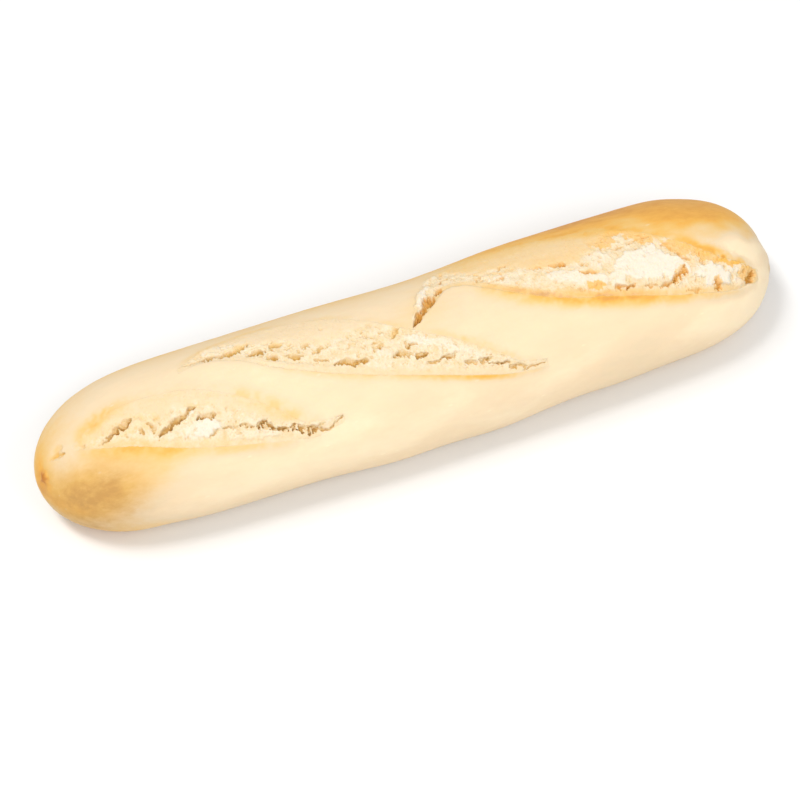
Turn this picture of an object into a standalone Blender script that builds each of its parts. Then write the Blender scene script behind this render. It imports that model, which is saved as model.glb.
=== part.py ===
"""A short part-baked baguette: one soft loaf with a flat sole and three torn slashes across its crest."""

import bisect
import math

import bmesh
import bpy
from mathutils import Matrix, Vector

# Driving dimensions, in metres. The loaf lies along X, with its sole on the XY plane.
LENGTH = 0.270
HALF_WIDTH_LEFT = 0.0288
HALF_WIDTH_MIDDLE = 0.0307
HALF_WIDTH_RIGHT = 0.0312
CROWN = 0.82  # half of a section's height, as a share of its half-width
CENTRE_HEIGHT = 0.0205  # where a section is widest, above the sole
END_DROOP = 0.0050  # how far the centre line falls at the tips
END_BOW = 0.0037  # how far the tips bend towards +Y
END_LENGTH_LEFT = 0.054  # how far the rounding of an end reaches
END_LENGTH_RIGHT = 0.050
END_BLUNTNESS = 2.9  # 2 is an ellipse, and more is blunter
KNOT_HEIGHT = 0.0014  # the pinched tip that shaping leaves at each end
KNOT_RISE = 0.0060  # how far above the centre line it sits

SEGMENTS_AROUND = 22
RINGS_ALONG = 32
CAGE_SHRINK = 1.008  # makes up for what Subdivision Surface takes off the cage

SLASH_STATIONS = 36
SLASH_LANES = 8
RIM_LIFT = 0.0020  # a cutter's rim stays this far above the crust
LIP_OUTSET = 0.0004
LIP_INSET = 0.0009
FAR_OUTSET = 0.0016
FAR_INSET = 0.0024
LUMP_HEIGHT = 0.0005
LUMP_PITCH = 0.0090
CUTTER_TOP = 0.060
FLOOR_BLOCK = 0.040

# Each slash runs from a tip at low X to a tip at high X. Its near lip is the torn crust edge on
# the -Y side, and its far border is where the stretched skin meets the crust on the +Y side.
# "depth" is how deep the bed lies just inside the near lip. All are (x, value) along the loaf.
SLASHES = {
    "slash_left": {
        "near": ((-0.129, 0.0020), (-0.112, -0.0040), (-0.095, -0.0135), (-0.075, -0.0195),
                 (-0.052, -0.0240), (-0.034, -0.0235)),
        "far": ((-0.129, 0.0030), (-0.116, 0.0042), (-0.102, 0.0055), (-0.088, 0.0040),
                (-0.070, -0.0030), (-0.054, -0.0165), (-0.034, -0.0225)),
        "depth": ((-0.129, 0.0012), (-0.100, 0.0034), (-0.070, 0.0034), (-0.034, 0.0014)),
    },
    "slash_middle": {
        "near": ((-0.081, 0.0095), (-0.070, 0.0098), (-0.052, 0.0030), (-0.030, -0.0090),
                 (-0.002, -0.0190), (0.020, -0.0245), (0.038, -0.0258)),
        "far": ((-0.081, 0.0105), (-0.066, 0.0160), (-0.050, 0.0165), (-0.030, 0.0130),
                (-0.012, 0.0060), (0.004, -0.0050), (0.018, -0.0150), (0.038, -0.0250)),
        "depth": ((-0.081, 0.0015), (-0.050, 0.0034), (0.000, 0.0036), (0.038, 0.0013)),
    },
    "slash_right": {
        "near": ((-0.004, -0.0036), (0.006, 0.0025), (0.017, 0.0090), (0.024, 0.0060),
                 (0.034, -0.0015), (0.050, -0.0095), (0.072, -0.0145), (0.095, -0.0188),
                 (0.112, -0.0190), (0.122, -0.0150)),
        "far": ((-0.004, -0.0026), (0.000, 0.0030), (0.007, 0.0135), (0.016, 0.0180),
                (0.030, 0.0130), (0.050, 0.0085), (0.072, 0.0040), (0.086, -0.0010),
                (0.096, -0.0075), (0.108, -0.0115), (0.122, -0.0130)),
        "depth": ((-0.004, 0.0020), (0.008, 0.0060), (0.020, 0.0050), (0.045, 0.0034),
                  (0.100, 0.0038), (0.122, 0.0014)),
    },
}

CRUST_COLOUR = (0.93, 0.72, 0.42, 1.0)
CRUST_ROUGHNESS = 0.62


def through(points, x):
    """A smooth curve's value at x: cubic pieces through the points, with their mean slopes."""
    xs = [point[0] for point in points]
    if x <= xs[0]:
        return points[0][1]
    if x >= xs[-1]:
        return points[-1][1]
    i = bisect.bisect_right(xs, x) - 1

    def slope(k):
        before, after = points[max(k - 1, 0)], points[min(k + 1, len(points) - 1)]
        return (after[1] - before[1]) / (after[0] - before[0])

    (x0, y0), (x1, y1) = points[i], points[i + 1]
    run = x1 - x0
    t = (x - x0) / run
    return (
        y0 * (1 + 2 * t) * (1 - t) ** 2
        + slope(i) * run * t * (1 - t) ** 2
        + y1 * t * t * (3 - 2 * t)
        + slope(i + 1) * run * t * t * (t - 1)
    )


def along(x):
    """Where x lies, from -1 at the left tip to 1 at the right tip."""
    return max(-1.0, min(1.0, 2 * x / LENGTH))


def half_width(x):
    u = along(x)
    end = HALF_WIDTH_LEFT if u < 0 else HALF_WIDTH_RIGHT
    return HALF_WIDTH_MIDDLE + (end - HALF_WIDTH_MIDDLE) * abs(u) ** 1.5


def end_rounding(x):
    """1 along the loaf's straight middle, falling to 0 at the tips."""
    reach = END_LENGTH_LEFT if x < 0 else END_LENGTH_RIGHT
    inward = (LENGTH / 2 - abs(x)) / reach
    if inward >= 1:
        return 1.0
    return max(0.0, 1 - (1 - max(inward, 0.0)) ** END_BLUNTNESS) ** 0.5


def centre_y(x):
    return END_BOW * along(x) ** 2


def centre_z(x):
    return CENTRE_HEIGHT - END_DROOP * along(x) ** 4


def crust_height(x, y):
    """The loaf's upper surface at (x, y), or its centre line beyond the sides."""
    rounded = max(end_rounding(x), 1e-6)
    across = (y - centre_y(x)) / (half_width(x) * rounded)
    rise = max(0.0, 1 - across * across) ** 0.5
    return centre_z(x) + CROWN * half_width(x) * rounded * rise


def plain_material(name, colour, roughness):
    material = bpy.data.materials.new(name)
    material.use_nodes = True
    shader = material.node_tree.nodes["Principled BSDF"]
    shader.inputs["Base Color"].default_value = colour
    shader.inputs["Roughness"].default_value = roughness
    shader.inputs["Metallic"].default_value = 0.0
    material.diffuse_color = colour
    return material


def new_object(name, bm, collection):
    mesh = bpy.data.meshes.new(name)
    bmesh.ops.recalc_face_normals(bm, faces=bm.faces)
    bm.to_mesh(mesh)
    bm.free()
    obj = bpy.data.objects.new(name, mesh)
    collection.objects.link(obj)
    return obj


def hide_cutter(cutter):
    cutter.hide_render = True
    cutter.display_type = "WIRE"


def cut(body, cutter):
    modifier = body.modifiers.new(cutter.name, "BOOLEAN")
    modifier.operation = "DIFFERENCE"
    modifier.solver = "EXACT"
    modifier.object = cutter


def loaf(collection):
    """A sphere with its poles on X, each ring carried to the loaf's own section there."""
    bm = bmesh.new()
    bmesh.ops.create_uvsphere(bm, u_segments=SEGMENTS_AROUND, v_segments=RINGS_ALONG, radius=1)
    bmesh.ops.rotate(bm, verts=bm.verts, matrix=Matrix.Rotation(math.pi / 2, 3, "Y"))
    for vertex in bm.verts:
        x = LENGTH / 2 * vertex.co.x
        ring = Vector((vertex.co.y, vertex.co.z))
        if ring.length < 1e-4:
            x += math.copysign(KNOT_HEIGHT, x)
            vertex.co = (x, centre_y(x), centre_z(x) + KNOT_RISE)
            continue
        ring.normalize()
        reach = half_width(x) * end_rounding(x) * CAGE_SHRINK
        vertex.co = (x, centre_y(x) + reach * ring.x, centre_z(x) + CROWN * reach * ring.y)
    body = new_object("loaf", bm, collection)
    body.data.shade_smooth()
    smooth = body.modifiers.new("soft form", "SUBSURF")
    smooth.levels = 1
    smooth.render_levels = 1
    return body


def floor_block(collection):
    """What it removes leaves the flat sole that the loaf was baked on."""
    bm = bmesh.new()
    bmesh.ops.create_cube(bm, size=1)
    bmesh.ops.scale(bm, verts=bm.verts, vec=(1.2 * LENGTH, LENGTH, FLOOR_BLOCK))
    bmesh.ops.translate(bm, verts=bm.verts, vec=(0, 0, -FLOOR_BLOCK / 2))
    block = new_object("floor_block", bm, collection)
    hide_cutter(block)
    return block


def lane_places(width):
    """(offset from the near lip, share of the full depth) of each lane across a slash."""
    first = min(LIP_INSET, 0.2 * width)
    last = width - min(FAR_INSET, 0.35 * width)
    places = [(-LIP_OUTSET, None)]
    inner = SLASH_LANES - 2
    for lane in range(inner + 1):
        share = lane / inner
        places.append((first + (last - first) * share, 1 - 0.75 * share))
    places.append((width + FAR_OUTSET, None))
    return places


def slash_cutter(name, slash, collection):
    """A grid laid on the slash's bed, with its rim above the crust, and drawn up to a flat top."""
    start, stop = slash["near"][0][0], slash["near"][-1][0]
    bm = bmesh.new()
    bmesh.ops.create_grid(bm, x_segments=SLASH_STATIONS, y_segments=SLASH_LANES, size=1)
    for vertex in bm.verts:
        station = round((vertex.co.x + 1) / 2 * SLASH_STATIONS)
        lane = round((vertex.co.y + 1) / 2 * SLASH_LANES)
        x = start + (stop - start) * station / SLASH_STATIONS
        near, far = through(slash["near"], x), through(slash["far"], x)
        offset, share = lane_places(max(far - near, 0.0))[lane]
        y = near + offset
        at_tip = station in (0, SLASH_STATIONS)
        if share is None or at_tip:
            z = crust_height(x, y) + RIM_LIFT
        else:
            lumps = LUMP_HEIGHT * math.sin(math.tau * x / LUMP_PITCH + 2.1 * lane)
            z = crust_height(x, y) - share * (through(slash["depth"], x) + lumps)
        vertex.co = (x, y, z)
    raised = bmesh.ops.extrude_face_region(bm, geom=bm.faces[:])
    for element in raised["geom"]:
        if isinstance(element, bmesh.types.BMVert):
            element.co.z = CUTTER_TOP
    cutter = new_object(name, bm, collection)
    hide_cutter(cutter)
    return cutter


def centre_on_origin(body, others):
    """Moves everything so that the finished loaf's box stands centred on the origin."""
    bpy.context.view_layer.update()
    finished = body.evaluated_get(bpy.context.evaluated_depsgraph_get())
    corners = [Vector(corner) for corner in finished.bound_box]
    shift = Vector([-(min(c[i] for c in corners) + max(c[i] for c in corners)) / 2 for i in (0, 1)] + [0])
    for obj in [body, *others]:
        obj.location += shift


def main():
    for obj in list(bpy.data.objects):
        bpy.data.objects.remove(obj)
    parts = bpy.data.collections.new("baguette")
    cutters = bpy.data.collections.new("cutters")
    for collection in (parts, cutters):
        bpy.context.scene.collection.children.link(collection)

    body = loaf(parts)
    body.data.materials.append(plain_material("crust", CRUST_COLOUR, CRUST_ROUGHNESS))
    removed = [floor_block(cutters)]
    removed += [slash_cutter(name, slash, cutters) for name, slash in SLASHES.items()]
    for cutter in removed:
        cut(body, cutter)
    centre_on_origin(body, removed)


main()
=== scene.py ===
# A short part-baked baguette: pale crust, three torn slashes, white crumb.
import math

import bpy
import numpy as np
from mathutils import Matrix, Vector, noise


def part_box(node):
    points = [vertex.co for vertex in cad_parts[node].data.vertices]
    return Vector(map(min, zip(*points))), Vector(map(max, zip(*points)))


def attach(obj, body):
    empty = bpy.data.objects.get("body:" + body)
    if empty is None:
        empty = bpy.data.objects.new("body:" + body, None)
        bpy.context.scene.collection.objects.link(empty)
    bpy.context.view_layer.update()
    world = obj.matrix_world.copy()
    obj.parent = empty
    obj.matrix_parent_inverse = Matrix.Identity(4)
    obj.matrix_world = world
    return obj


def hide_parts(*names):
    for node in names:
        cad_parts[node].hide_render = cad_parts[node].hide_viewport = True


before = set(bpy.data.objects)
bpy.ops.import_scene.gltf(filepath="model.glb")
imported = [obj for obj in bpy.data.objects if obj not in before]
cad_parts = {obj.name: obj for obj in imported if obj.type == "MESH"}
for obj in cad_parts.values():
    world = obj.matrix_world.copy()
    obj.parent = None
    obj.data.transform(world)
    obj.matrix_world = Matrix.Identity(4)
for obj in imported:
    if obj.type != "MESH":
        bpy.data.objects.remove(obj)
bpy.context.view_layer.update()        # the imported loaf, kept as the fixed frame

mm = 0.001                      # shaping below is done in millimetres
loafLow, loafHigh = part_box("loaf")
loafLength, loafWidth, loafHeight = [side / mm for side in loafHigh - loafLow]


# small helpers for selecting, reading and writing meshes

def deselectAll():
    if bpy.context.mode != "OBJECT":
        bpy.ops.object.mode_set(mode="OBJECT")
    bpy.ops.object.select_all(action="DESELECT")


def makeActive(obj):
    deselectAll()
    obj.select_set(True)
    bpy.context.view_layer.objects.active = obj


def readPoints(obj):
    points = np.empty(len(obj.data.vertices) * 3)
    obj.data.vertices.foreach_get("co", points)
    return points.reshape(-1, 3) / mm


def writePoints(obj, points):
    obj.data.vertices.foreach_set("co", (points * mm).ravel())
    obj.data.update()


def readNormals(obj):
    normals = np.empty(len(obj.data.vertices) * 3)
    obj.data.vertex_normals.foreach_get("vector", normals)
    return normals.reshape(-1, 3)


def faceCentres(obj):
    centres = np.empty(len(obj.data.polygons) * 3)
    obj.data.polygons.foreach_get("center", centres)
    return centres.reshape(-1, 3)


def selectFaces(obj, chosen):
    # vertex and edge flags are cleared too, or edit mode would bring old ones back
    obj.data.vertices.foreach_set("select", np.zeros(len(obj.data.vertices), bool))
    obj.data.edges.foreach_set("select", np.zeros(len(obj.data.edges), bool))
    obj.data.polygons.foreach_set("select", chosen)
    bpy.context.tool_settings.mesh_select_mode = (False, False, True)


def storeValue(obj, name, values):
    layer = obj.data.attributes.new(name, "FLOAT", "POINT")
    layer.data.foreach_set("value", np.clip(values, 0, 1).astype(np.float32))


def applyAll(obj):
    makeActive(obj)
    for modifier in list(obj.modifiers):
        bpy.ops.object.modifier_apply(modifier=modifier.name)


def step(low, high, value):
    t = np.clip((value - low) / (high - low), 0, 1)
    return t * t * (3 - 2 * t)


def hill(distance, reach):
    return np.exp(-(distance / reach) ** 2)


def through(points, x):
    # smooth curve through a few given points, level beyond both ends
    xs, ys = np.array(points, float).T
    x = np.clip(np.asarray(x, float), xs[0], xs[-1])
    before, after = np.arange(len(xs)) - 1, np.arange(len(xs)) + 1
    before[0], after[-1] = 0, len(xs) - 1
    slopes = (ys[after] - ys[before]) / (xs[after] - xs[before])
    i = np.clip(np.searchsorted(xs, x, side="right") - 1, 0, len(xs) - 2)
    run = xs[i + 1] - xs[i]
    t = (x - xs[i]) / run
    return (ys[i] * (1 + 2 * t) * (1 - t) ** 2 + slopes[i] * run * t * (1 - t) ** 2
            + ys[i + 1] * t * t * (3 - 2 * t) + slopes[i + 1] * run * t * t * (t - 1))


def softNoise(points, size, seed, octaves=1):
    # rolling noise, about -1 to 1, with features about size wide; size may differ along x, y and z
    scaled = points / np.broadcast_to(size, 3) + seed * 17.31
    if octaves == 1:
        return np.array([noise.noise(Vector(p)) for p in scaled])
    return np.array([noise.fractal(Vector(p), 0.9, 2.1, octaves) for p in scaled])


def cellNoise(points, size, seed):
    # distance to the nearest cell centre, 0 at the centre and about 1 at the walls
    scaled = points / np.broadcast_to(size, 3) + seed * 11.73
    return np.array([noise.voronoi(Vector(p))[0][0] for p in scaled])


# the loaf's own shape, the same sections as the solid it stands for
loafShape = {
    "knot": 1.4,                    # how far the pinched tips stand out
    "left": 0.458, "middle": 0.488, "right": 0.496,   # half-widths, as shares of the width
    "crown": 0.82,
    "centre": 0.4495,               # height of the widest line, as a share of the height
    "droop": 5.0, "bow": 3.7,
    "endLeft": 54.0, "endRight": 50.0, "blunt": 2.9,
    "around": 160, "rings": 224,
}
halfLength = loafLength / 2 - loafShape["knot"]


def along(x):
    return np.clip(x / halfLength, -1, 1)


def halfWidth(x):
    u = along(x)
    end = np.where(u < 0, loafShape["left"], loafShape["right"])
    share = loafShape["middle"] + (end - loafShape["middle"]) * np.abs(u) ** 1.5
    return share * loafWidth


def endRounding(x):
    reach = np.where(x < 0, loafShape["endLeft"], loafShape["endRight"])
    inward = np.clip((halfLength - np.abs(x)) / reach, 0, 1)
    return np.sqrt(np.maximum(0, 1 - (1 - inward) ** loafShape["blunt"]))


def centreY(x):
    return loafShape["bow"] * along(x) ** 2 - bowShift


def centreZ(x):
    return loafShape["centre"] * loafHeight - loafShape["droop"] * along(x) ** 4


bowShift = 0.0
sampleX = halfLength * np.sin(np.linspace(-math.pi / 2, math.pi / 2, 2001))
sampleReach = halfWidth(sampleX) * endRounding(sampleX)
bowShift = ((centreY(sampleX) - sampleReach).min() + (centreY(sampleX) + sampleReach).max()) / 2


def crestPoint(x, y):
    # the point of the smooth crust right above (x, y)
    reach = np.maximum(halfWidth(x) * endRounding(x), 1e-3)
    across = np.clip((y - centreY(x)) / reach, -1, 1)
    z = centreZ(x) + loafShape["crown"] * reach * np.sqrt(1 - across ** 2)
    return np.stack([x, y, z], axis=-1)


def crestNormal(x, y):
    e = 0.2
    dx = (crestPoint(x + e, y) - crestPoint(x - e, y))[..., 2] / (2 * e)
    dy = (crestPoint(x, y + e) - crestPoint(x, y - e))[..., 2] / (2 * e)
    normal = np.stack([-dx, -dy, np.ones_like(dx)], axis=-1)
    return normal / np.linalg.norm(normal, axis=-1, keepdims=True)


def girthAngle(points):
    # 0 on the near side, 90 at the crest, 180 on the far side, negative underneath
    x, y, z = points.T
    angle = np.degrees(np.arctan2((z - centreZ(x)) / loafShape["crown"], centreY(x) - y))
    return np.where(angle < -90, angle + 360, angle)


# The three slashes, as curves of (x, y). near is the crust lip on the -Y side, tear is where
# the open crumb ends, far is where the stretched skin runs back into the crust.
# gold browns the near lip, farGold the far border and rim the crumb just inside the lip.
slashes = {
    "left": {
        "near": ((-121, -2.2), (-115, -5.8), (-104, -10.6), (-90, -16.4), (-75, -20.6), (-55, -24.4),
                 (-44, -25.8), (-34, -24.6)),
        "tear": ((-121, -1.6), (-112, -3.6), (-102, -1.0), (-92, -5.0), (-81, -4.8), (-72, -9.0),
                 (-62, -15.6), (-52, -20.6), (-34, -23.2)),
        "far": ((-121, -0.6), (-113, 2.2), (-104, 4.0), (-91, 3.2), (-79, 0.2), (-68, -5.7), (-55, -15.4),
                (-46, -22.0), (-34, -22.6)),
        "gold": ((-121, 0.08), (-112, 0.22), (-95, 0.34), (-82, 0.24), (-62, 0.20), (-50, 0.08), (-34, 0.0)),
        "goldWidth": 3.4,
        "farGold": ((-121, 0.0), (-113, 0.36), (-104, 0.16), (-94, 0.05), (-78, 0.08), (-62, 0.20), (-50, 0.18),
                    (-40, 0.0)),
        "farWidth": 3.2,
        "rim": ((-121, 0.1), (-90, 0.16), (-34, 0.06)),
        "skinBake": 0.03,
        "ear": 0.10,
        "tuck": 0.02,
        "band": 0.45,
    },
    "middle": {
        "near": ((-81, 8.4), (-74, 9.8), (-67, 8.2), (-60, 5.0), (-52, -1.0), (-42, -6.6), (-32, -11.2), (-20, -15.4),
                 (-4, -20.0), (12, -24.0), (24, -26.2), (38, -27.2)),
        "tear": ((-81, 10), (-70, 14.4), (-60, 13.6), (-50, 9.6), (-40, 5.0), (-30, 1.2), (-22, 3.0), (-12, 1.6),
                 (-3, -4.8), (8, -11.6), (20, -19.2), (38, -25.6)),
        "far": ((-81, 10.2), (-74, 14.2), (-66, 16.8), (-54, 18.2), (-44, 16.8), (-32, 13.6), (-22, 9.0), (-12, 2.0),
                (-3, -4.4), (8, -11.2), (20, -18.8), (30, -24.4), (38, -25.2)),
        "gold": ((-81, 0.0), (-50, 0.08), (-30, 0.14), (-8, 0.18), (2, 0.36), (14, 0.44), (24, 0.34), (38, 0.04)),
        "goldWidth": 2.0,
        "farGold": ((-81, 0.10), (-60, 0.10), (-30, 0.06), (6, 0.08), (16, 0.20), (30, 0.12), (38, 0.0)),
        "farWidth": 1.6,
        "rim": ((-81, 0.0), (38, 0.04)),
        "skinBake": 0.03,
        "ear": 0.12,
        "tuck": 0.0,
        "band": 0.85,
    },
    "right": {
        "near": ((-3.4, -4.9), (0.4, -2.8), (4, -0.2), (8, 2.8), (11.6, 5.9), (15, 7.6), (20, 6.8), (28, 1.6), (40, -5.8), (52, -10.8), (68, -14.8),
                 (86, -19.0), (100, -20.9), (110, -21.0), (119, -18.6), (123, -16.6)),
        "tear": ((-3.4, -4.4), (-1, -0.2), (2, 5.0), (6, 11.4), (10, 16.0), (16, 17.4), (24, 12.0), (34, 8.8), (46, 4.8), (54, 3.6),
                 (60, 3.0), (66, 5.4), (72, 9.8), (78, 9.6), (82, 8.0), (91, 1.6), (98, -3.6), (106, -9.4), (123, -14.2)),
        "far": ((-3.4, -4.2), (-1, 0.2), (2, 5.2), (6, 11.8), (10, 16.6), (18, 20.0), (30, 21.2), (42, 19.8), (56, 17.6), (72, 14.4),
                (82, 8.8), (91, 2.4), (98, -2.8), (105, -8.2), (112, -12.2), (123, -14.0)),
        "gold": ((-3, 0.0), (16, 0.02), (28, 0.22), (42, 0.38), (60, 0.54), (84, 0.40), (104, 0.22), (123, 0.04)),
        "goldWidth": 3.4,
        "farGold": ((-3, 0.0), (16, 0.05), (45, 0.10), (70, 0.22), (92, 0.16), (102, 0.34), (110, 0.60), (116, 0.44),
                    (120, 0.12), (123, 0.0)),
        "farWidth": 2.4,
        "rim": ((-3, 0.0), (24, 0.10), (36, 0.40), (48, 0.58), (58, 0.54), (70, 0.40), (84, 0.16),
                (104, 0.12), (123, 0.12)),
        "skinBake": 0.13,
        "ear": 0.30,
        "tuck": 0.05,
        "band": 0.75,
    },
}
cavityDepth = 4.2


def slashDistances(slash, points):
    # how far each point lies past the near lip, short of the tear and short of the far border
    x, y = points[:, 0], points[:, 1]
    reach = np.maximum(halfWidth(x) * endRounding(x), 1e-3)
    tilt = np.sqrt(np.maximum(0.12, 1 - ((y - centreY(x)) / reach) ** 2))
    found = []
    for name, sign in (("near", 1), ("tear", -1), ("far", -1)):
        border = through(slash[name], x)
        slope = (through(slash[name], x + 0.5) - through(slash[name], x - 0.5)) / tilt
        found.append(sign * (y - border) / tilt / np.sqrt(1 + slope ** 2))
    start, stop = slash["near"][0][0], slash["near"][-1][0]
    fromTip = np.minimum(x - start, stop - x)
    return (*found, fromTip)


def onTop(points):
    return points[:, 2] > centreZ(points[:, 0])


crust = {
    "refine": 3.0,       # the mesh is finer this far to each side of a slash's border
    "rolling": 0.22,     # slow unevenness of hand shaping
    "dimple": 0.05,
    "sides": 0.04, "top": 0.09,      # how baked the pale flanks and the pale top are
    "lipRagged": 0.35,
    # a browned shoulder beyond the right slash: where it starts, as (x, girth angle), and how strong
    "shoulder": ((10, 142), (30, 134), (55, 124), (72, 110), (88, 92), (100, 84), (110, 83), (122, 79), (136, 76)),
    "shoulderBake": ((-30, 0.08), (10, 0.20), (40, 0.42), (70, 0.52), (110, 0.50), (122, 0.46), (130, 0.32),
                     (136, 0.14)),
}
# where the oven coloured it, and where light and shade are painted: (x, girth angle, reach along, reach round in
# degrees, amount)
bakeAndShadingPatches = (
    (-127, 20, 15, 30, 0.42), (-107, 46, 20, 22, 0.26), (-104, -24, 14, 20, 0.14), (-134, 80, 5, 60, 0.34), (-128, 118, 14, 30, 0.12),
    (-50, 158, 90, 24, 0.26), (-30, 62, 26, 12, 0.04), (4, 96, 12, 12, 0.10),
    # the patches with a negative amount are painted light: they lighten the right end's near face and tip, the near low
    # flank and the crest, where the lamps leave them dimmer
    (116, 20, 24, 36, -0.09), (120, 66, 13, 10, -0.12), (-45, 15, 34, 34, -0.03), (76, 4, 26, 36, 0.05),
    # the last patch on the next line, under the left end, is partly a browned sole and partly painted shade where the
    # shadow gathers under the end
    (-66, 92, 40, 22, -0.04), (22, 150, 46, 20, 0.10), (56, 134, 30, 14, 0.12), (-122, -52, 14, 26, 0.50),
)
tannedPatches = ((-119, 32, 14, 28, 0.92), (-124, -20, 12, 26, 0.50))
# swellings and waists left by hand shaping: the same, with the height in millimetres
swellings = (
    (-97, -34, 10, 24, -0.8), (104, -8, 34, 30, -1.0), (2, 152, 22, 24, -0.9), (66, 150, 34, 24, 0.8),
    (-16, -34, 16, 24, 1.0), (18, -34, 16, 24, 1.2), (86, -34, 16, 24, -0.8), (-46, -34, 20, 24, -0.5),
    (84, 140, 24, 24, -0.5), (112, 130, 9, 24, -0.9), (38, 140, 14, 24, 0.3), (136, 60, 5, 200, 0.9), (133, 85, 3.5, 35, -1.0),
    (48, -34, 14, 24, -0.6), (112, -34, 16, 24, -0.8),
    (116, 74, 9, 14, 0.7), (-121, 62, 7, 12, 0.25), (-115, 52, 5, 9, -0.25), (-127, 50, 4, 10, -0.25),
)
# the dents are also painted darker in makeCrust: painted shade along the crease and, for the second one, above it
dents = ((-126.2, 0.2, 2.7, 0.6, -30, 1.2), (-125.4, 1.9, 1.6, 1.2, -20, 0.4))
knots = ((-1, -1.0, 23.0, 1.0), (1, -8.4, 20.5, 0.35))     # side, y, z, how strongly pinched


def stationX(share):
    # share of the way from tip to tip, measured over the crust, so that rings lie evenly
    steps = np.hypot(np.diff(sampleX), np.diff(sampleReach))
    travelled = np.concatenate([[0], np.cumsum(steps)])
    return np.interp(share, travelled / travelled[-1], sampleX)


def ontoLoaf(sphere):
    # carries a unit sphere, poles on X, to the loaf's smooth surface
    sphere = sphere / np.linalg.norm(sphere, axis=1, keepdims=True)
    x = stationX(np.arcsin(np.clip(sphere[:, 0], -1, 1)) / math.pi + 0.5)
    ring = sphere[:, 1:] / np.maximum(np.linalg.norm(sphere[:, 1:], axis=1, keepdims=True), 1e-9)
    reach = halfWidth(x) * endRounding(x)
    return np.stack([x, centreY(x) + reach * ring[:, 0],
                     centreZ(x) + loafShape["crown"] * reach * ring[:, 1]], axis=1)


def patches(base, marks):
    # adds up soft patches given by their place along the loaf and round it
    angle = girthAngle(base)
    total = np.zeros(len(base))
    for px, pAngle, reachX, reachAngle, amount in marks:
        around = (angle - pAngle + 180) % 360 - 180
        total += amount * hill(base[:, 0] - px, reachX) * hill(around, reachAngle)
    return total


def ovenColourAndShading(base):
    x, angle = base[:, 0], girthAngle(base)
    drift = softNoise(base, (24, 9, 9), 3)
    flank = step(75, 5, angle) + step(150, 190, angle)
    bakeAndShading = crust["top"] + (crust["sides"] - crust["top"]) * flank + 0.03 * drift
    past = angle - through(crust["shoulder"], x) + 7 * softNoise(base, (7, 4, 4), 4) + 5 * drift
    sharper = through(((85, 1.0), (114, 1.9), (124, 1.6), (134, 0.6)), x)
    deepening = 0.3 * step(-8, 5, past) + 0.7 * step(0, 38, past * sharper)
    bakeAndShading += through(crust["shoulderBake"], x) * deepening * step(205, 165, angle)
    # the patches add painted light and shade as well as browning
    return bakeAndShading + patches(base, bakeAndShadingPatches) * (1 + 0.35 * softNoise(base, (14, 8, 8), 8))


def rollingForm(base):
    return patches(base, swellings) + crust["rolling"] * softNoise(base, (38, 26, 26), 1)


def lipColour(slash, base, distances):
    # the golden band along the near lip and the fainter, broken one along the far border
    dNear, dTear, dFar, fromTip = distances
    patchy = step(-0.55, 0.45, softNoise(base, (7, 4, 4), 7) + 0.5 * softNoise(base, 1.6, 9))
    outside = step(0.3, -0.4, dNear) * hill(np.minimum(dNear, 0), slash["goldWidth"])
    inside = step(-0.3, 0.5, dNear) * hill(np.maximum(dNear - 0.5, 0), 2.4)
    band = through(slash["gold"], base[:, 0]) * outside * step(-6, -2, dFar)
    rim = through(slash["rim"], base[:, 0]) * inside
    farBand = through(slash["farGold"], base[:, 0]) * hill(dFar + 0.4, slash["farWidth"]) * step(-3, 0, dNear)
    return step(-1, 3, fromTip) * ((0.65 + 0.5 * patchy) * band + (0.45 + 0.75 * patchy) * (rim + farBand))


def insideOval(points, mx, my, halfL, halfW, turn):
    # distance to the edge of a turned oval, positive inside, and the share of the way across it
    c, s = math.cos(math.radians(turn)), math.sin(math.radians(turn))
    dx, dy = points[:, 0] - mx, points[:, 1] - my
    over = (dy * c - dx * s) / halfW
    share = np.maximum(np.hypot((dx * c + dy * s) / halfL, over), 0.05)
    return np.minimum(np.hypot(dx, dy) * (1 / share - 1), halfW), over


def ovals(points, marks, fray=0, edge=0.3):
    # each turned oval's height inside it, falling to 0 across its edge (mm), which fray (mm) makes uneven
    total = np.zeros(len(points))
    for mx, my, halfL, halfW, turn, height in marks:
        inside = insideOval(points, mx, my, halfL, halfW, turn)[0]
        total = np.maximum(total, height * step(-edge, edge, inside + fray * min(1, halfW)))
    return total


def pocketDepth(points, marks, fray):
    # like ovals, but sharp at the near edge with a floor that climbs towards the far one
    total = np.zeros(len(points))
    for mx, my, halfL, halfW, turn, depth in marks:
        inside, over = insideOval(points, mx, my, halfL, halfW, turn)
        edge = step(-0.25, 0.2, inside + 0.9 * fray * min(1, halfW))
        total = np.maximum(total, depth * edge * np.clip(0.62 - 0.5 * over, 0, 1))
    return total


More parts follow.
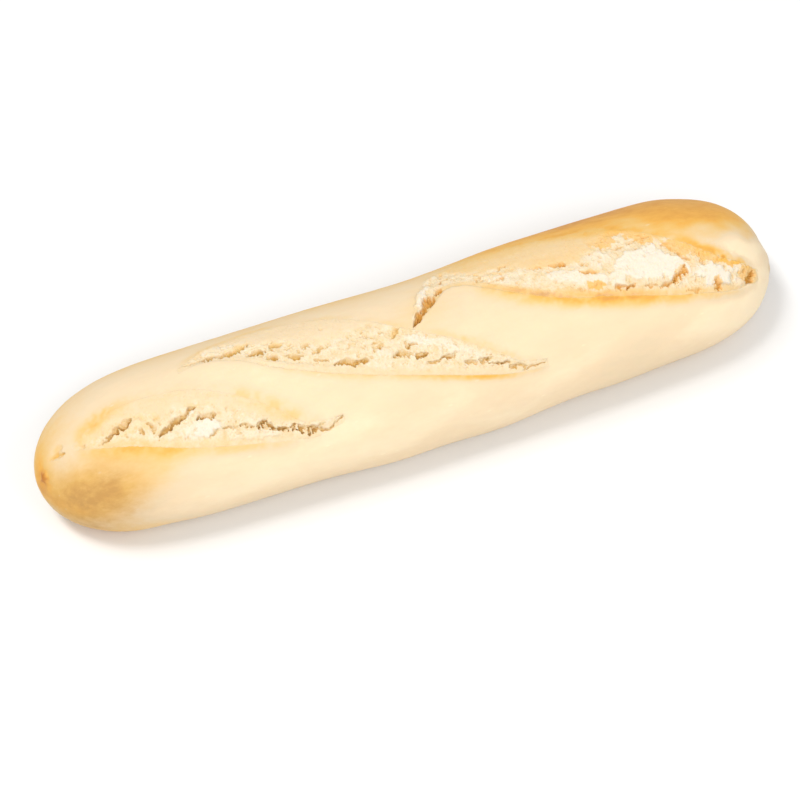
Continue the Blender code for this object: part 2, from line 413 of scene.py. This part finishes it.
def makeCrust():
    bpy.ops.mesh.primitive_uv_sphere_add(segments=loafShape["around"], ring_count=loafShape["rings"],
                                         radius=1, rotation=(0, math.pi / 2, 0))
    obj = bpy.context.object
    obj.name = obj.data.name = "crust"
    bpy.ops.object.transform_apply(rotation=True)

    # finer faces along the borders of the slashes
    centres = ontoLoaf(faceCentres(obj))
    margin = crust["refine"]
    chosen = np.zeros(len(centres), bool)
    for slash in slashes.values():
        dNear, dTear, dFar, fromTip = slashDistances(slash, centres)
        edge = np.minimum(np.minimum(dNear, dFar), fromTip)
        chosen |= (edge > -margin) & (edge < 1.8) & onTop(centres)
    selectFaces(obj, chosen)
    bpy.ops.object.mode_set(mode="EDIT")
    bpy.ops.mesh.subdivide(number_cuts=3)
    bpy.ops.object.mode_set(mode="OBJECT")

    base = ontoLoaf(readPoints(obj) * mm)
    writePoints(obj, base)
    normals = readNormals(obj)
    x, y, z = base.T
    top = onTop(base)

    lift = rollingForm(base) + crust["dimple"] * softNoise(base, (7, 4, 4), 2, 3)
    lift -= ovals(base, dents) * top
    # the 0.05 term is painted shade, darker towards the bottom edge of the flank; the 0.30 term is the browned sole;
    # the dents term is painted shade in the crease
    bakeAndShading = ovenColourAndShading(base) + 0.05 * step(22, 11, z) + 0.30 * step(3.0, 0.5, z) + 0.22 * ovals(base, dents) * top
    ragged = crust["lipRagged"] * (softNoise(base, 2.4, 5) + 0.7 * softNoise(base, 0.8, 6))
    hollow = np.zeros(len(x))
    for slash in slashes.values():
        distances = slashDistances(slash, base)
        dNear, dTear, dFar, fromTip = distances
        tips = step(0, 5, fromTip) * top
        opened = np.minimum(np.minimum(dNear + ragged, dFar - 0.6), fromTip - 0.6)
        cavity = step(0, 0.7, opened) * top
        lift += slash["ear"] * hill(dNear + 0.6, 1.9) * tips * step(-1, 1, dFar)
        lift -= cavityDepth * cavity
        bakeAndShading += lipColour(slash, base, distances) * top
        hollow = np.maximum(hollow, cavity)

    for side, ky, kz, strength in knots:
        near = (np.sign(x) == side) & (np.abs(x) > halfLength - 16)
        dy, dz = y - ky, (z - kz) * 1.15
        r = np.hypot(dy, dz)
        folds = np.cos(5 * np.arctan2(dz, dy) + 0.6)
        pinch = 0.3 * hill(r, 1.5) - 0.45 * hill(r - 2.6, 1.3) + 0.25 * folds * hill(r - 3.2, 2.0)
        lift += np.where(near, strength * pinch, 0)
        bakeAndShading += np.where(near, strength * (0.95 * hill(r, 1.4 + 0.5 * folds) + 0.12 * hill(r, 5)), 0)

    points = base + normals * lift[:, None]
    points[:, 2] = np.maximum(points[:, 2], 0)      # the flat sole
    writePoints(obj, points)
    storeValue(obj, "bakeAndShading", bakeAndShading)
    storeValue(obj, "hollow", hollow)
    storeValue(obj, "tanned", patches(base, tannedPatches) * (1 + 0.35 * softNoise(base, (10, 6, 6), 12, 2)))
    obj.data.shade_smooth()
    print("crust:", len(obj.data.polygons), "faces")
    return obj


# Marks in the crumb, each (x, y, half length, half width, turn in degrees, amount): pockets go down and
# tufts stand up by the amount in millimetres, toast is golden flakes by a share from 0 to 1.
crumbs = {
    "left": {
        "pockets": ((-118.2, -3.4, 1.6, 0.5, 10, 0.8), (-112.4, -4.9, 1.4, 0.5, 20, 0.8),
                    (-105.4, -3.7, 6.0, 1.1, 16, 3.0), (-98.9, -7.4, 1.1, 0.8, 40, 1.3), (-95.2, -7.6, 2.3, 0.7, -75, 1.5),
                    (-88.4, -9.1, 5.8, 1.0, 20, 3.0), (-82.0, -6.8, 2.6, 0.7, 10, 2.2), (-77.2, -10.5, 3.0, 1.1, -8, 2.4),
                    (-77.0, -16.4, 2.2, 0.4, 24, 1.0), (-71.2, -16.4, 2.4, 0.5, -6, 1.2), (-66.0, -17.5, 2.6, 0.6, -16, 1.5),
                    (-61.4, -18.3, 1.8, 1.0, 20, 2.5), (-58.2, -19.7, 1.7, 0.8, -44, 2.5), (-55.0, -21.3, 1.5, 0.8, -14, 2.2),
                    (-52.0, -21.8, 1.3, 0.8, 20, 2.2), (-49.2, -22.8, 1.5, 0.9, -36, 2.4), (-46.0, -24.0, 1.7, 0.8, -8, 2.4),
                    (-42.4, -25.0, 1.5, 0.5, -16, 1.8), (-39.2, -24.9, 1.6, 0.4, 20, 1.5), (-36.2, -24.1, 1.8, 0.3, 24, 1.3)),
        "tufts": ((-78.6, -14.4, 4.2, 2.3, 4, 0.9), (-80.5, -13.8, 6.6, 3.0, 0, 0.5), (-81.4, -8.2, 1.8, 0.9, 0, 0.6), (-64.0, -20.6, 8.5, 1.2, -14, 0.4),
                  (-99.5, -5.2, 1.6, 1.0, 30, 0.4), (-90.0, -12.6, 4.0, 1.0, -18, 0.3)),
        "toast": ((-102.0, -4.0, 9.0, 3.6, -10, 0.30), (-98.0, -5.0, 3.0, 1.2, 30, 0.35), (-79.0, -6.0, 4.0, 1.0, -10, 0.3), (-112.0, -2.0, 3.5, 1.0, 35, 0.35)),
    },
    "middle": {
        "pockets": ((-75.6, 11.4, 2.8, 0.5, 8, 1.6), (-69.4, 10.8, 3.2, 1.0, -6, 3.2), (-63.6, 10.2, 3.0, 1.2, -4, 3.0),
                    (-58.4, 11.0, 2.2, 1.3, 25, 2.6), (-54.4, 6.6, 2.9, 1.3, -6, 3.2), (-48.0, 7.0, 2.2, 1.0, -10, 2.0),
                    (-49.6, 2.2, 1.8, 1.2, -20, 2.4), (-43.2, 0.1, 3.0, 1.0, -24, 2.2), (-38.9, 2.6, 1.6, 1.3, 30, 1.3),
                    (-43.4, 3.8, 1.6, 0.6, 0, 0.9), (-35.2, -0.4, 1.6, 1.0, 20, 1.3), (-35.6, -4.6, 2.7, 0.6, -20, 1.8),
                    (-26.3, -8.9, 5.6, 1.3, -12, 3.0), (-15.6, -6.6, 1.8, 1.0, 10, 1.2), (-9.2, -11.6, 3.6, 1.3, -14, 1.5),
                    (-5.4, -9.4, 1.8, 0.8, 10, 1.5), (-3.2, -13.7, 2.3, 1.0, -4, 2.4), (0.2, -17.0, 2.8, 0.5, -6, 1.6),
                    (5.2, -16.6, 2.9, 0.9, 6, 1.5), (12.0, -20.2, 2.4, 0.6, -20, 1.3), (16.6, -20.8, 2.2, 0.7, -20, 1.3),
                    (21.4, -22.8, 3.4, 0.6, -14, 1.6), (27.2, -25.0, 3.2, 0.5, -12, 1.4), (33.0, -26.1, 4.2, 0.4, 3, 1.1),
                    (-30.8, 8.2, 0.9, 0.5, 0, 0.5), (-19.6, -0.5, 1.7, 0.5, -10, 1.0), (-16.2, -1.9, 1.1, 0.5, 0, 0.8),
                    (-8.4, -3.0, 3.6, 0.5, 38, 1.3)),
        "tufts": ((-66.0, 13.9, 6.5, 1.6, -8, 0.6), (-14.0, -9.6, 4.5, 1.4, -20, 0.4), (-2.0, -8.6, 4.5, 2.0, -35, 0.6),
                  (5.0, -12.4, 5.0, 1.5, -40, 0.5), (14.0, -18.0, 5.0, 1.2, -35, 0.4), (-46.0, -3.0, 9.0, 1.2, -28, 0.25),
                  (-10.0, -15.6, 9.0, 1.0, -16, 0.25)),
        "toast": ((-59.0, 11.4, 3.0, 1.6, 20, 0.5), (-62.0, 12.6, 8.0, 1.2, -6, 0.25), (-47.6, 7.0, 2.6, 1.4, 0, 0.4),
                  (-8.0, -2.6, 4.2, 0.9, 38, 0.5)),
    },
    "right": {
        "pockets": ((0.3, -1.3, 4.2, 1.5, 38, 6.0), (5.8, 4.0, 3.4, 1.9, 42, 5.0), (10.8, 7.8, 2.6, 1.0, 40, 2.6),
                    (15.4, 12.8, 2.0, 0.5, 34, 1.4), (26.2, 7.0, 1.7, 0.6, -15, 1.0), (34.8, 9.6, 1.9, 0.5, 35, 0.9),
                    (32.8, 4.4, 1.2, 0.7, 30, 0.8), (30.0, 4.8, 1.0, 0.6, 0, 0.7), (46.2, 4.2, 1.8, 0.7, 10, 1.1),
                    (53.2, 3.0, 3.7, 1.0, -8, 1.8), (61.4, -3.6, 2.7, 0.6, -15, 1.8), (75.8, 2.4, 2.2, 0.5, -10, 1.2),
                    (80.8, 3.0, 2.0, 0.7, 0, 0.9), (86.0, 3.8, 2.0, 0.5, -30, 1.0), (91.8, -2.4, 2.0, 0.7, -35, 1.2),
                    (95.6, -8.0, 2.8, 0.5, -42, 1.2), (70.2, -12.2, 1.5, 0.9, 0, 2.0), (74.6, -12.9, 1.8, 1.0, 10, 2.2),
                    (81.0, -14.6, 2.0, 0.6, 0, 1.3), (85.8, -15.4, 2.2, 0.8, 0, 2.0), (89.6, -14.4, 2.0, 1.0, 30, 2.4),
                    (93.0, -12.8, 2.6, 0.9, 35, 2.2), (95.4, -19.4, 3.0, 0.4, 0, 1.2), (103.8, -19.0, 1.3, 1.5, 0, 2.4),
                    (118.6, -16.9, 3.0, 1.2, 34, 3.0)),
        "tufts": ((80.0, -6.8, 9.5, 5.6, -14, 0.8), (88.0, -9.0, 8.4, 4.8, -26, 1.0), (85.6, -2.4, 2.4, 2.4, 0, 0.8),
                  (70.0, -8.8, 3.4, 3.0, 0, 0.6), (68.0, -0.2, 4.0, 3.0, -20, 0.4), (57.0, -4.6, 12.0, 2.6, -24, 0.6),
                  (102.8, -15.8, 6.6, 3.0, -16, 1.3), (5.0, 7.6, 5.6, 1.7, 52, 0.75), (12.0, 15.6, 3.0, 0.8, 30, 0.4),
                  (112.0, -18.6, 3.0, 1.4, 0, 0.5), (113.4, -14.6, 3.4, 1.3, -6, 0.7), (34.0, 3.4, 6.0, 1.2, -30, 0.35),
                  (95.0, -12.6, 6.0, 2.0, -20, 0.35)),
        "toast": ((52.0, 5.0, 10.0, 3.0, -14, 0.35), (71.0, 8.0, 5.4, 3.8, -20, 0.65), (56.0, -9.8, 8.0, 1.0, -22, 0.35), (75.0, 11.2, 7.0, 3.0, -10, 0.75), (84.0, 5.0, 5.5, 2.8, -45, 0.6), (95.0, -4.0, 5.5, 2.6, -40, 0.6),
                  (103.0, -9.4, 6.0, 1.8, -30, 0.6), (92.0, -13.4, 3.6, 1.4, 32, 0.5), (97.2, -11.4, 1.8, 3.0, 10, 0.25), (62.5, -9.2, 3.2, 1.2, -20, 0.8), (111.0, -12.6, 4.0, 1.0, -12, 0.7),
                  (52.0, 4.4, 7.0, 1.6, -12, 0.4), (62.0, -3.6, 4.0, 1.0, -15, 0.4), (118.0, -16.2, 4.6, 2.6, 32, 0.6),
                  (104.0, -19.0, 2.0, 2.0, 0, 0.6), (30.0, 9.0, 8.0, 1.0, -24, 0.2)),
    },
}
crumbGrid = {"spacing": 0.24, "under": 1.7, "rim": -3.4, "floor": -4.0}


def makeCrumb(name):
    slash, looks = slashes[name], crumbs[name]
    under = crumbGrid["under"]
    start, stop = slash["near"][0][0] - under, slash["near"][-1][0] + under
    stations = int((stop - start) / crumbGrid["spacing"])
    widest = max(through(slash["far"], x) - through(slash["near"], x) for x in np.linspace(start, stop, 40))
    lanes = int((widest + 2 * under) / crumbGrid["spacing"])
    bpy.ops.mesh.primitive_grid_add(x_subdivisions=stations, y_subdivisions=lanes, size=2)
    obj = bpy.context.object
    obj.name = obj.data.name = "crumb_" + name

    # lay the grid along the slash
    uv = readPoints(obj) * mm
    x = start + (stop - start) * (uv[:, 0] + 1) / 2
    low, high = through(slash["near"], x) - under, through(slash["far"], x) + under
    y = low + (high - low) * (uv[:, 1] + 1) / 2
    seat, normals = crestPoint(x, y), crestNormal(x, y)

    # frayed borders: fibres run across the slash
    fibre, fine = softNoise(seat, (0.8, 2.4, 2.4), 21), softNoise(seat, 0.6, 22)
    drift, wander = softNoise(seat, 2.8, 23), softNoise(seat, 2.8, 24)
    fray = 0.55 * fibre + 0.35 * fine
    torn = 1.6 * softNoise(seat, (2.6, 4.0, 4.0), 37, 3)
    warped = seat + np.stack([1.1 * drift + 0.3 * fine, 1.1 * wander + 0.3 * fibre, 0 * fine], axis=1)
    distances = slashDistances(slash, seat)
    dNear, dTear, dFar, fromTip = distances
    skin = step(1.6, -1.8, dTear + 2.0 * wander + 0.8 * fray)
    skin = np.maximum(skin, slash["band"] * step(3.4, 1.2, dNear + 0.7 * wander + 0.6 * fray))
    rough = (1 - skin) * step(-0.2, 1.0, dNear)
    strands = step(0.14, 0.0, np.abs(softNoise(seat, (2.2, 3.4, 3.4), 25) + 0.3 * fine))
    beads = softNoise(warped, 0.9, 36)
    pocket = pocketDepth(warped, looks["pockets"], 2.4 * fray) * (1 - 0.4 * strands) * (0.8 + 0.3 * drift + 0.3 * beads)
    tuft = ovals(warped, looks["tufts"], fray + torn, 0.8)
    toast = ovals(warped, looks["toast"], 2 * fray)

    # broad form first, then flakes, holes and pits
    flakes = 1 - 2.2 * np.abs(softNoise(warped, (1.6, 2.6, 2.6), 33, 3))
    holes = step(0.55, 0.15, cellNoise(warped, (1.5, 2.0, 2.0), 3)) * step(0.05, 0.4, softNoise(seat, 2.6, 34))
    pits = step(0.45, 0.12, cellNoise(seat, (0.8, 0.9, 0.9), 5)) * step(-0.1, 0.35, softNoise(seat, 1.8, 35))
    broad = softNoise(seat, (5, 3.5, 3.5), 31, 2)
    height = 0.06 - 0.32 * rough * step(0, 2.5, dFar) + (0.10 + 0.22 * rough) * broad
    height += tuft * (0.85 + 0.22 * softNoise(warped, 2.6, 32, 2)) * step(-0.1, 1.2, dNear)
    calm = rough * (1 - 0.6 * np.clip(tuft, 0, 1)) * (0.35 + 0.65 * step(1.5, 3.5, dNear))
    height += calm * (0.20 * flakes - 0.60 * holes - 0.25 * pits)
    height += skin * (0.05 * flakes - 0.14 * pits)
    height -= pocket * (1 + 0.25 * broad + 0.15 * fine)
    height -= 0.9 * step(0.4, -1.5, np.minimum(dFar, fromTip) + 0.5 * fray)      # feathers out onto the crust
    height -= slash["tuck"] * step(1.2, 0.0, dNear)
    height = height + (crumbGrid["rim"] - height) * step(-0.2, -1.5, dNear)
    height += rollingForm(seat)
    points = seat + normals * height[:, None]
    points[:, 1] -= 0.4 * pocket * step(4, 0.5, dNear)      # pockets run in under the near lip
    writePoints(obj, points)
    # this value paints pockets, holes and pits darker: partly toasted crumb, partly painted shade in the recesses
    storeValue(obj, "recessToastAndShade", pocket / 1.3 + (0.50 * holes + 0.40 * pits) * (0.25 * skin + calm))
    storeValue(obj, "white", step(0.0, 1.0, tuft * (1 + 0.25 * beads)) + 0.2 * rough * step(0, 0.5, flakes))
    storeValue(obj, "skin", skin)
    storeValue(obj, "toast", toast + lipColour(slash, seat, distances) * (1 - skin))
    storeValue(obj, "bakeAndShading", ovenColourAndShading(seat) + slash["skinBake"] * step(-0.3, 3, dFar) + lipColour(slash, seat, distances))

    # fine grain of the torn crumb
    grain = bpy.data.textures.new("crumbGrain", "CLOUDS")
    grain.noise_scale = 0.6 * mm
    grain.noise_depth = 2
    roughGroup = obj.vertex_groups.new(name="rough")
    for level in np.linspace(0.1, 1, 10):
        roughGroup.add(np.flatnonzero(np.abs(0.1 + 0.9 * calm - level) <= 0.05).tolist(), level, "REPLACE")
    displace = obj.modifiers.new("grain", "DISPLACE")
    displace.texture = grain
    displace.texture_coords = "LOCAL"
    displace.vertex_group = "rough"
    displace.strength = 0.32 * mm
    applyAll(obj)

    # close it with a skirt and a floor inside the loaf
    makeActive(obj)
    bpy.ops.object.mode_set(mode="EDIT")
    bpy.ops.mesh.select_mode(type="EDGE")
    bpy.ops.mesh.select_all(action="DESELECT")
    bpy.ops.mesh.select_non_manifold(extend=False)
    bpy.ops.mesh.extrude_region_move(TRANSFORM_OT_translate={"value": (0, 0, crumbGrid["floor"] * mm)})
    bpy.ops.mesh.edge_face_add()
    bpy.ops.mesh.quads_convert_to_tris(quad_method="BEAUTY", ngon_method="BEAUTY")
    bpy.ops.mesh.select_all(action="SELECT")
    bpy.ops.mesh.normals_make_consistent(inside=False)
    bpy.ops.object.mode_set(mode="OBJECT")
    obj.data.shade_smooth()
    print(obj.name + ":", len(obj.data.polygons), "faces")
    return obj


# materials

def linear(code):
    # a colour given as a code such as "fde8c6", as the shader wants it
    values = [int(code[i:i + 2], 16) / 255 for i in (0, 2, 4)]
    return [v / 12.92 if v <= 0.04045 else ((v + 0.055) / 1.055) ** 2.4 for v in values] + [1]


def newMaterial(name):
    material = bpy.data.materials.new(name)
    material.use_nodes = True
    return material, material.node_tree.nodes, material.node_tree.links


def addNode(nodes, kind, place, **values):
    node = nodes.new("ShaderNode" + kind)
    node.location = place
    for key, value in values.items():
        if hasattr(node, key):
            setattr(node, key, value)
        else:
            node.inputs[key.replace("_", " ")].default_value = value
    return node


def mathNode(nodes, links, operation, place, *values):
    node = addNode(nodes, "Math", place, operation=operation)
    for socket, value in zip(node.inputs, values):
        if isinstance(value, (int, float)):
            socket.default_value = value
        else:
            links.new(value, socket)
    return node.outputs[0]


def mixColour(nodes, links, place, amount, first, second):
    # second is laid over first by the amount; each is an output or a colour code
    node = addNode(nodes, "Mix", place, data_type="RGBA")
    for socket, value in ((node.inputs[0], amount), (node.inputs[6], first), (node.inputs[7], second)):
        if isinstance(value, str):
            socket.default_value = linear(value)
        else:
            links.new(value, socket)
    return node.outputs[2]


def rampNode(nodes, links, place, factor, stops):
    node = nodes.new("ShaderNodeValToRGB")
    node.location = place
    while len(node.color_ramp.elements) < len(stops):
        node.color_ramp.elements.new(0.5)
    for element, (position, code) in zip(node.color_ramp.elements, stops):
        element.position = position
        element.color = linear(code)
    links.new(factor, node.inputs["Fac"])
    return node.outputs["Color"]


def attribute(nodes, name, place):
    return addNode(nodes, "Attribute", place, attribute_name=name).outputs["Fac"]


# from hardly coloured flanks to a well browned end
bakedColours = ((0.0, "efdbb8"), (0.06, "e6ceaa"), (0.11, "dfc9a6"), (0.26, "e0be86"), (0.40, "e0b466"),
                (0.52, "e1a94e"), (0.72, "cf9142"), (1.0, "b87426"))


def bakedAndShadedCrust(nodes, links, coords, x):
    # crust colour from the baked-colour attribute, which also carries painted light and shade, broken up by drifts,
    # mottling and a few pale flecks
    bakeAndShading = attribute(nodes, "bakeAndShading", (x, 500))
    stretch = addNode(nodes, "Mapping", (x, 0))
    stretch.inputs["Scale"].default_value = (0.45, 1.0, 1.0)
    links.new(coords, stretch.inputs["Vector"])
    blotch = addNode(nodes, "TexNoise", (x + 200, 200), Scale=110.0, Detail=3.0, Roughness=0.55)
    mottle = addNode(nodes, "TexNoise", (x + 200, 0), Scale=420.0, Detail=5.0, Roughness=0.65)
    flecks = addNode(nodes, "TexVoronoi", (x + 200, -250), Scale=320.0)
    for texture in (blotch, mottle, flecks):
        links.new(stretch.outputs["Vector"], texture.inputs["Vector"])
    drift = mathNode(nodes, links, "MULTIPLY_ADD", (x + 400, 200), blotch.outputs["Fac"], 0.10, -0.05)
    speck = mathNode(nodes, links, "MULTIPLY_ADD", (x + 400, 0), mottle.outputs["Fac"], 0.40, -0.20)
    strength = mathNode(nodes, links, "ADD", (x + 400, 500), bakeAndShading, 0.08)
    speck = mathNode(nodes, links, "MULTIPLY", (x + 550, 100), speck, strength)
    dots = addNode(nodes, "MapRange", (x + 400, -250))
    dots.inputs["From Min"].default_value, dots.inputs["From Max"].default_value = 0.16, 0.05
    links.new(flecks.outputs["Distance"], dots.inputs["Value"])
    fewer = mathNode(nodes, links, "GREATER_THAN", (x + 400, -450), flecks.outputs["Color"], 0.72)
    dots = mathNode(nodes, links, "MULTIPLY", (x + 550, -250), dots.outputs["Result"], fewer)
    dots = mathNode(nodes, links, "MULTIPLY", (x + 700, -250), dots, strength)
    amount = mathNode(nodes, links, "ADD", (x + 700, 300), bakeAndShading, drift)
    amount = mathNode(nodes, links, "ADD", (x + 850, 300), amount, speck)
    amount = mathNode(nodes, links, "MULTIPLY_ADD", (x + 1000, 300), dots, -0.35, amount)
    colour = rampNode(nodes, links, (x + 1150, 300), amount, bakedColours)
    tanned = mathNode(nodes, links, "MULTIPLY_ADD", (x + 1000, 750), mottle.outputs["Fac"], 1.6, 0.2)
    tanned = mathNode(nodes, links, "MULTIPLY", (x + 1150, 650), attribute(nodes, "tanned", (x + 1000, 600)), tanned)
    return mixColour(nodes, links, (x + 1350, 400), tanned, colour, "bd9050"), mottle.outputs["Fac"]


def crustMaterial():
    material, nodes, links = newMaterial("pale baked crust")
    shader = nodes["Principled BSDF"]
    coords = addNode(nodes, "TexCoord", (-1900, 0)).outputs["Object"]
    colour, mottle = bakedAndShadedCrust(nodes, links, coords, -1700)
    hollow = attribute(nodes, "hollow", (-500, 550))
    links.new(mixColour(nodes, links, (-250, 400), hollow, colour, "c8a870"), shader.inputs["Base Color"])

    rough = addNode(nodes, "MapRange", (-500, -150))
    rough.inputs["To Min"].default_value = 0.50
    rough.inputs["To Max"].default_value = 0.72
    links.new(mottle, rough.inputs["Value"])
    links.new(rough.outputs["Result"], shader.inputs["Roughness"])

    fine = addNode(nodes, "TexNoise", (-700, -450), Scale=1500.0, Detail=4.0, Roughness=0.6)
    links.new(coords, fine.inputs["Vector"])
    relief = mathNode(nodes, links, "MULTIPLY_ADD", (-500, -400), fine.outputs["Fac"], 0.35, mottle)
    bump = addNode(nodes, "Bump", (-250, -400), Strength=0.35, Distance=0.00022)
    links.new(relief, bump.inputs["Height"])
    links.new(bump.outputs["Normal"], shader.inputs["Normal"])
    shader.inputs["Specular IOR Level"].default_value = 0.30
    shader.inputs["Subsurface Weight"].default_value = 0.12
    shader.inputs["Subsurface Radius"].default_value = (1.0, 0.55, 0.25)
    shader.inputs["Subsurface Scale"].default_value = 0.0025
    return material


# the pocket colours are partly toasted crumb and partly painted shade; the crack colours are painted shade
crumbLooks = {     # colours of the pockets, of the deepest cracks and of the golden flakes
    "left": {"pocket": "c49a54", "crackShade": "94682e", "gold": "e2ba74"},
    "middle": {"pocket": "c89c4c", "crackShade": "9c7030", "gold": "e2ba74"},
    "right": {"pocket": "d2983e", "crackShade": "925818", "gold": "e4b05a"},
}


def crumbMaterial(name):
    looks = crumbLooks[name]
    material, nodes, links = newMaterial("torn crumb, " + name + " slash")
    shader = nodes["Principled BSDF"]
    coords = addNode(nodes, "TexCoord", (-2200, 0)).outputs["Object"]
    crustColour = bakedAndShadedCrust(nodes, links, coords, -2000)[0]
    patchy = addNode(nodes, "TexNoise", (-900, 0), Scale=330.0, Detail=4.0, Roughness=0.65)
    foam = addNode(nodes, "TexNoise", (-900, -250), Scale=1300.0, Detail=5.0, Roughness=0.7)
    for texture in (patchy, foam):
        links.new(coords, texture.inputs["Vector"])
    colour = rampNode(nodes, links, (-700, 0), patchy.outputs["Fac"],
                      ((0.36, "d8c094"), (0.48, "dec8a2"), (0.62, "e2d1b3")))
    colour = mixColour(nodes, links, (-400, 0), attribute(nodes, "white", (-700, 250)), colour, "e1d7c4")
    colour = mixColour(nodes, links, (-250, 0), attribute(nodes, "toast", (-700, 400)), colour, looks["gold"])
    onlySkin = mathNode(nodes, links, "MULTIPLY", (-400, 500), attribute(nodes, "skin", (-700, 550)), 0.85)
    colour = mixColour(nodes, links, (-100, 0), onlySkin, colour, crustColour)
    # pocket colour is partly toasted crumb and partly painted shade; the crack colour is painted shade, strongest in
    # the deepest pockets
    depth = attribute(nodes, "recessToastAndShade", (-700, 700))
    recessToastAndShade = mathNode(nodes, links, "MULTIPLY", (-400, 700), depth, 0.9)
    colour = mixColour(nodes, links, (50, 0), recessToastAndShade, colour, looks["pocket"])
    crackShadeAmount = addNode(nodes, "MapRange", (-400, 900), From_Min=0.8, From_Max=2.2, To_Max=0.9)
    links.new(depth, crackShadeAmount.inputs["Value"])
    colour = mixColour(nodes, links, (200, 0), crackShadeAmount.outputs["Result"], colour, looks["crackShade"])
    links.new(colour, shader.inputs["Base Color"])
    bump = addNode(nodes, "Bump", (-250, -300), Strength=0.25, Distance=0.0003)
    links.new(foam.outputs["Fac"], bump.inputs["Height"])
    links.new(bump.outputs["Normal"], shader.inputs["Normal"])
    shader.inputs["Roughness"].default_value = 0.85
    shader.inputs["Specular IOR Level"].default_value = 0.2
    shader.inputs["Subsurface Weight"].default_value = 0.25
    shader.inputs["Subsurface Radius"].default_value = (1.0, 0.7, 0.4)
    shader.inputs["Subsurface Scale"].default_value = 0.0015
    return material


# put it together
deselectAll()
pieces = [(makeCrust(), "crust", crustMaterial())]
for name in slashes:
    pieces.append((makeCrumb(name), "crumb", crumbMaterial(name)))
for piece, slot, material in pieces:
    piece.data.materials.append(material)
    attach(piece, "root")
    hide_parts("loaf")
print("pieces are on the frame")


# stage, light and camera
studio = {
    "floorSize": 8.0,
    "worldColour": (1.0, 1.0, 1.0), "worldStrength": 0.57,
    "keyPower": 7.9, "keySize": 0.32, "keyPlace": (-0.525, 0.0, 1.5),
    "backPower": 4.2, "backSize": 0.32, "backPlace": (-0.60, 0.36, 1.4),
    "frontPower": 7.5, "frontSize": 0.6, "frontPlace": (-0.385, -0.973, 1.34),
    "fillPower": 6.9, "fillSize": 0.8, "fillPlace": (0.601, -1.041, 1.202),
}
camera = {"azimuth": -21.6, "elevation": 55.0, "distance": 0.757, "lens": 100,
          "target": (-10.3, -12.1, 18.5)}


def makeStage():
    bpy.ops.mesh.primitive_plane_add(size=studio["floorSize"])
    floor = bpy.context.object
    floor.name = "floor"
    material, nodes, links = newMaterial("white floor")
    nodes["Principled BSDF"].inputs["Base Color"].default_value = (0.80, 0.80, 0.80, 1)
    nodes["Principled BSDF"].inputs["Roughness"].default_value = 0.9
    nodes["Principled BSDF"].inputs["Specular IOR Level"].default_value = 0.0
    floor.data.materials.append(material)
    world = bpy.data.worlds.new("studio")
    bpy.context.scene.world = world
    world.use_nodes = True
    world.node_tree.nodes["Background"].inputs["Color"].default_value = (*studio["worldColour"], 1)
    world.node_tree.nodes["Background"].inputs["Strength"].default_value = studio["worldStrength"]


def softLight(name, place, size, power, colour=(1, 1, 1)):
    bpy.ops.object.light_add(type="AREA", location=place)
    light = bpy.context.object
    light.name = name
    light.data.size = size
    light.data.energy = power
    light.data.color = colour
    light.rotation_euler = (Vector((0, 0, 0.02)) - light.location).to_track_quat("-Z", "Y").to_euler()
    return light


def makeCamera():
    a, e = math.radians(camera["azimuth"]), math.radians(camera["elevation"])
    target = Vector(camera["target"]) * mm
    back = Vector((math.sin(a) * math.cos(e), -math.cos(a) * math.cos(e), math.sin(e)))
    bpy.ops.object.camera_add(location=target + back * camera["distance"])
    cam = bpy.context.object
    cam.rotation_euler = (-back).to_track_quat("-Z", "Y").to_euler()
    cam.data.lens = camera["lens"]
    cam.data.sensor_width = 36
    cam.data.clip_start = 0.05
    bpy.context.scene.camera = cam


makeStage()
softLight("key", studio["keyPlace"], studio["keySize"], studio["keyPower"], (1.0, 0.99, 0.97))
softLight("back", studio["backPlace"], studio["backSize"], studio["backPower"])
softLight("front", studio["frontPlace"], studio["frontSize"], studio["frontPower"])
softLight("fill", studio["fillPlace"], studio["fillSize"], studio["fillPower"])
makeCamera()
bpy.context.scene.view_settings.view_transform = "Standard"
print("studio is ready")
